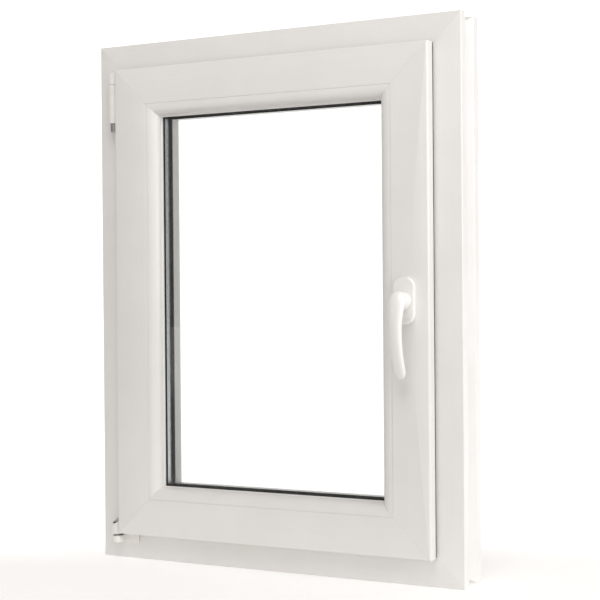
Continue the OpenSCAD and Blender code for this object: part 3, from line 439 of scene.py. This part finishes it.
def loft(shape, ring, frames):
    """Draws a ring of vertices through a row of frames and closes both ends. Each frame is a matrix that
    places the unit ring."""
    bmesh.ops.transform(shape, matrix=frames[0], verts=ring)
    edges = list({e for v in ring for e in v.link_edges})
    bmesh.ops.contextual_create(shape, geom=edges)
    for before, after in zip(frames, frames[1:]):
        made = bmesh.ops.extrude_edge_only(shape, edges=edges)["geom"]
        fresh = [g for g in made if isinstance(g, bmesh.types.BMVert)]
        edges = [g for g in made if isinstance(g, bmesh.types.BMEdge)]
        bmesh.ops.transform(shape, matrix=after @ before.inverted(), verts=fresh)
    bmesh.ops.contextual_create(shape, geom=edges)


def unit_ring(shape, segments, power):
    """A unit ring, a circle at power 1 and squarer the lower the power."""
    ring = bmesh.ops.create_circle(shape, radius=1, segments=segments)["verts"]
    for v in ring:
        v.co.x = math.copysign(abs(v.co.x) ** power, v.co.x)
        v.co.y = math.copysign(abs(v.co.y) ** power, v.co.y)
    return ring


def window_lever():
    """The cast lever: a round boss on the rosette that runs out into a bowed blade with soft edges."""
    axis_low, axis_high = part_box("handle_spindle")
    axis_x = (axis_low.x + axis_high.x) / 2
    axis_z = (axis_low.z + axis_high.z) / 2
    sash_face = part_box("sash_stile_lock")[0].y
    # the blade's middle line, as millimetres proud of the sash and below the spindle
    bow = [(30, -7), (45, 24), (37, 72), (21, 105)]
    # half the blade's width and half its depth, by the millimetres below the spindle
    half_widths = [(-13, 1.2), (-12.4, 4.2), (-11, 6.9), (-8.5, 9.2), (-5, 10.8), (0, 11.6), (6, 11.5),
                   (14, 10.6), (24, 9.5), (36, 8.7), (55, 8.2), (75, 8.2), (90, 8.6), (97, 8.7), (101, 8.2),
                   (104, 6.9), (106, 5.0), (107.3, 2.6), (107.8, 1.0)]
    half_depths = [(-13, 0.9), (-12.4, 2.6), (-11, 4.2), (-8.5, 5.6), (-5, 6.6), (0, 7.0), (14, 6.9),
                   (36, 6.3), (55, 5.8), (75, 5.3), (90, 5.0), (99, 4.8), (103, 4.1), (106, 2.8),
                   (107.3, 1.5), (107.8, 0.6)]
    # the boss, turned about the spindle, as millimetres proud of the sash and its radius there
    boss_radii = [(10.4, 11.4), (10.4, 12.4), (11.3, 12.6), (12.1, 12.1), (13.5, 11.3), (16, 10.7),
                  (20, 10.5), (24, 10.7), (28, 11.0), (32, 10.2), (34.5, 7.5), (35.4, 3.0)]
    shape = bmesh.new()
    blade = unit_ring(shape, 32, 0.78)
    # places along the middle line, and millimetres past its ends where the blade is rounded off
    rings = 26
    steps = [(0.0, past) for past in (-6.0, -5.4, -4.4, -3.0, -1.5)]
    steps += [(i / rings, 0.0) for i in range(rings + 1)]
    steps += [(1.0, past) for past in (0.9, 1.8, 2.4, 2.8)]
    cast = []
    for t, past in steps:
        (proud, down), (tp, td) = curve_at(bow, t)
        proud, down = proud + tp * past, down + td * past
        across = read_off(half_widths, down) * MM
        deep = read_off(half_depths, down) * MM
        place = Vector((axis_x, sash_face - proud * MM, axis_z - down * MM))
        run = Vector((0, -tp, -td))
        outward = Vector((1, 0, 0)).cross(run)
        cast.append(Matrix((
            (across, 0, 0, place.x), (0, outward.y * deep, run.y * MM, place.y),
            (0, outward.z * deep, run.z * MM, place.z), (0, 0, 0, 1))))
    loft(shape, blade, cast)
    boss = unit_ring(shape, 48, 1.0)
    turned = [Matrix((
        (radius * MM, 0, 0, axis_x), (0, 0, MM, sash_face - proud * MM),
        (0, radius * MM, 0, axis_z), (0, 0, 0, 1))) for proud, radius in boss_radii]
    loft(shape, boss, turned)
    bmesh.ops.recalc_face_normals(shape, faces=shape.faces)
    piece = piece_from(shape, "cast_lever", white_powder_coat, 60)
    soft = piece.modifiers.new("cast skin", "SUBSURF")
    soft.levels = soft.render_levels = 1
    dress(piece, "handle_lever", SLOTS["handle_lever"], "handle_lever")


def block(shape, low_mm, high_mm):
    """Adds a box to a shape, between two corners in millimetres."""
    low, high = Vector(low_mm) * MM, Vector(high_mm) * MM
    size = high - low
    place = Matrix.Translation((low + high) / 2) @ Matrix.Diagonal((*size, 1))
    bmesh.ops.create_cube(shape, size=1, matrix=place)


def rest_cover():
    """The moulded white cover clipped round the lower hinge's plate and barrel block, under the sash."""
    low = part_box("pivot_rest")[0] / MM
    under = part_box("sash_rail_bottom")[0].z / MM
    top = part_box("rest_bush")[1].z / MM
    barrel_radius, barrel_front = 6.5, -10.4
    plate_front, plate_length = -3, 65
    skin, lap, clear = 0.9, 2.5, 0.1
    hinge_x = low.x + barrel_radius
    plate_end = -half_width / MM + plate_length
    shape = bmesh.new()
    block(shape, (hinge_x + barrel_radius - lap, plate_front - skin, low.z - skin),
          (plate_end + skin, -clear, under - 0.5))
    for cheek in (low.x - skin, hinge_x + barrel_radius):
        block(shape, (cheek, barrel_front, low.z - skin), (cheek + skin, -clear, top))
    bmesh.ops.bevel(shape, geom=shape.edges[:], offset=0.3 * MM, segments=3, profile=0.5, affect="EDGES",
                    material=-1, clamp_overlap=True)
    piece = piece_from(shape, "rest_cover", cap_plastic)
    dress(piece, "hinge_covers", "cap_white")


def band_mouth_shade():
    """A black disc in the gasket's rubber, set in the slanted mouth of the sash's hinge cover: painted shade,
    a dark sheet standing for the shadowed hollow inside the cover.
    """
    pin_low, pin_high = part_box("stay_pin")
    hinge = Vector(((pin_low.x + pin_high.x) / 2, (pin_low.y + pin_high.y) / 2, 0))
    cover_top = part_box("corner_band_cap")[1].z
    below_top, radius, behind_hinge, thick, slant = 9.4 * MM, 6.4 * MM, 1.6 * MM, 2.6 * MM, 0.25
    shape = bmesh.new()
    disc = Matrix.Translation((hinge.x, hinge.y, cover_top - below_top))
    bmesh.ops.create_circle(shape, cap_ends=True, radius=radius, segments=40, matrix=disc)
    # the back of the disc is cut off flat, where the cover stands against the sash
    bmesh.ops.bisect_plane(shape, geom=shape.verts[:] + shape.edges[:] + shape.faces[:], dist=1e-7,
                           plane_co=(hinge.x, hinge.y + behind_hinge, 0), plane_no=(0, 1, 0), clear_outer=True)
    top = bmesh.ops.extrude_face_region(shape, geom=shape.faces[:])["geom"]
    raised = [g for g in top if isinstance(g, bmesh.types.BMVert)]
    bmesh.ops.translate(shape, verts=raised, vec=(0, 0, thick))
    for v in raised:
        v.co.z += (v.co.x - hinge.x) * slant
    bmesh.ops.recalc_face_normals(shape, faces=shape.faces)
    piece = piece_from(shape, "band_mouth_shade", gasket_rubber)
    soften(piece, 0.5)
    dress(piece, "corner_band_cap", "gasket_black")


def gasket_lip():
    """The edge of the flange's gasket, seen as a thin black line in the gap round the sash."""
    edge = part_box("sash_stile_lock")[1].x / MM
    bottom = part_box("sash_rail_bottom")[0].z / MM
    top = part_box("sash_rail_top")[1].z / MM
    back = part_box("sash_seal")[1].y / MM
    set_back, thick, deep, clear = 0.5, 1.1, 3.6, 0.5
    # the lip stops short of the hinge side, where the hinges stand in the gap
    hinge_side = 60
    outer, inner = set_back, set_back + thick
    shape = bmesh.new()
    block(shape, (edge - inner, back - deep, bottom + outer), (edge - outer, back, top - outer))
    for z0, z1 in ((bottom + outer, bottom + inner), (top - inner, top - outer)):
        block(shape, (hinge_side - edge, back - deep, z0), (edge - inner, back - clear, z1))
    bmesh.ops.bevel(shape, geom=shape.edges[:], offset=0.25 * MM, segments=3, profile=0.5, affect="EDGES",
                    material=-1, clamp_overlap=True)
    piece = piece_from(shape, "gasket_lip", gasket_rubber)
    dress(piece, "sash_seal", "gasket_black")


window_lever()
rest_cover()
# the black disc in the hinge cover's mouth is painted shade
band_mouth_shade()
gasket_lip()

for name in nodes:
    material = SLOT_MATERIALS[SLOTS[name]]
    if name in BARS_ACROSS:
        material = pvc_bar_across
    elif name in BARS_UPRIGHT:
        material = pvc_bar_upright
    paint(name, material)
    if name in ROUNDED:
        rounded(name, material, ROUNDED[name])


# ---------------------------------------------------------------- camera, floor and light

# degrees round to the left, below level, and over to the side
TURN, DIP, LEAN = 26.80, 0.39, -0.46
view_turn = (Matrix.Rotation(math.radians(TURN), 4, "Z")
             @ Matrix.Rotation(math.radians(90 - DIP), 4, "X")
             @ Matrix.Rotation(math.radians(LEAN), 4, "Z"))
camera_data = bpy.data.cameras.new("camera")
camera_data.lens = 80.64
camera_data.sensor_width = 36
camera = bpy.data.objects.new("camera", camera_data)
camera.matrix_world = Matrix.Translation((0.934, -1.753, 0.415)) @ view_turn
bpy.context.scene.collection.objects.link(camera)
bpy.context.scene.camera = camera

# the level direction in which the camera looks
AWAY = (-0.451, 0.892, 0.0)


def studio_floor():
    """A plain pale sweep: a wide disc that also glows, most of all far behind the window and near the
    camera, so that it stays white there."""
    shape = bmesh.new()
    bmesh.ops.create_circle(shape, cap_ends=True, radius=14, segments=96)
    material, tree, place = blank_material("white studio floor")
    clouds = add(tree, "ShaderNodeTexNoise", {"Vector": place, "Scale": per_mm(400), "Detail": 2.0})
    tone = add(tree, "ShaderNodeMapRange", {**STRONG, "Value": clouds})
    away = add(tree, "ShaderNodeVectorMath", {"operation": "DOT_PRODUCT", 0: place, 1: AWAY}).outputs["Value"]
    # the glow rises by each gain, from nothing at the first distance away to all of it at the second
    steps = [add(tree, "ShaderNodeMapRange", {
        "interpolation_type": "SMOOTHSTEP", "Value": away, "From Min": none_at, "From Max": all_at,
        "To Min": 0.0, "To Max": gain})
        for none_at, all_at, gain in ((-0.5, -0.22, 0.46), (0.02, 0.5, 0.5), (-0.8, -2.4, 0.45))]
    behind = add(tree, "ShaderNodeMath", {"operation": "ADD", 0: steps[0], 1: steps[1]})
    shader = add(tree, "ShaderNodeBsdfPrincipled", {
        "Base Color": add(tree, "ShaderNodeMix", {
            "data_type": "RGBA", 0: tone, 6: linear("#cccac7"), 7: linear("#d2d0cd")}).outputs[2],
        "Roughness": 0.9,
        "Specular IOR Level": 0.1,
        "Emission Color": linear("#ffffff"),
        "Emission Strength": add(tree, "ShaderNodeMath", {"operation": "ADD", 0: behind, 1: steps[2]})})
    add(tree, "ShaderNodeOutputMaterial", {"Surface": shader})
    floor = piece_from(shape, "studio_floor", material)
    floor.data.transform(Matrix.Translation((0, 0, -0.2 * MM)))


studio_floor()

# the sky's light, how much stronger it is towards the right, and that of the wall behind the window
SKY = 0.5
SKY_TO_RIGHT = 0.25
GLOW = 1.0
world = bpy.data.worlds.new("studio")
world.use_nodes = True
bpy.context.scene.world = world
sky = world.node_tree
sky.nodes.clear()
direction = add(sky, "ShaderNodeTexCoord", {}).outputs["Generated"]
rightward = add(sky, "ShaderNodeSeparateXYZ", {0: direction}).outputs["X"]
level = add(sky, "ShaderNodeMath", {"operation": "MULTIPLY_ADD", 0: rightward, 1: SKY_TO_RIGHT, 2: SKY})
# a bright wall behind the window, where one looks through the glass
aim = add(sky, "ShaderNodeVectorMath", {"operation": "DOT_PRODUCT", 0: direction, 1: AWAY}).outputs["Value"]
glow = add(sky, "ShaderNodeMapRange", {
    "interpolation_type": "SMOOTHSTEP", "Value": aim, "From Min": 0.72, "From Max": 0.93,
    "To Min": 0.0, "To Max": GLOW})
strength = add(sky, "ShaderNodeMath", {"operation": "ADD", 0: level, 1: glow})
backdrop = add(sky, "ShaderNodeBackground", {"Color": linear("#fffcf9"), "Strength": strength})
add(sky, "ShaderNodeOutputWorld", {"Surface": backdrop})


def softbox(name, place, target, size, power, colour):
    """A large square light aimed at a point."""
    data = bpy.data.lights.new(name, "AREA")
    data.shape = "SQUARE"
    data.size = size
    data.energy = power
    data.color = linear(colour)[:3]
    light = bpy.data.objects.new(name, data)
    aim = Vector(target) - Vector(place)
    light.matrix_world = Matrix.Translation(place) @ aim.to_track_quat("-Z", "Y").to_matrix().to_4x4()
    bpy.context.scene.collection.objects.link(light)


softbox("softbox right", (2.2, -0.4, 0.8), (0.2, 0, 0.4), 0.9, 16, "#fbfcff")
softbox("softbox above", (0.5, -1.3, 2.1), (0.1, 0, 0.7), 1.0, 15, "#fffdfb")

bpy.context.scene.view_settings.view_transform = "Standard"
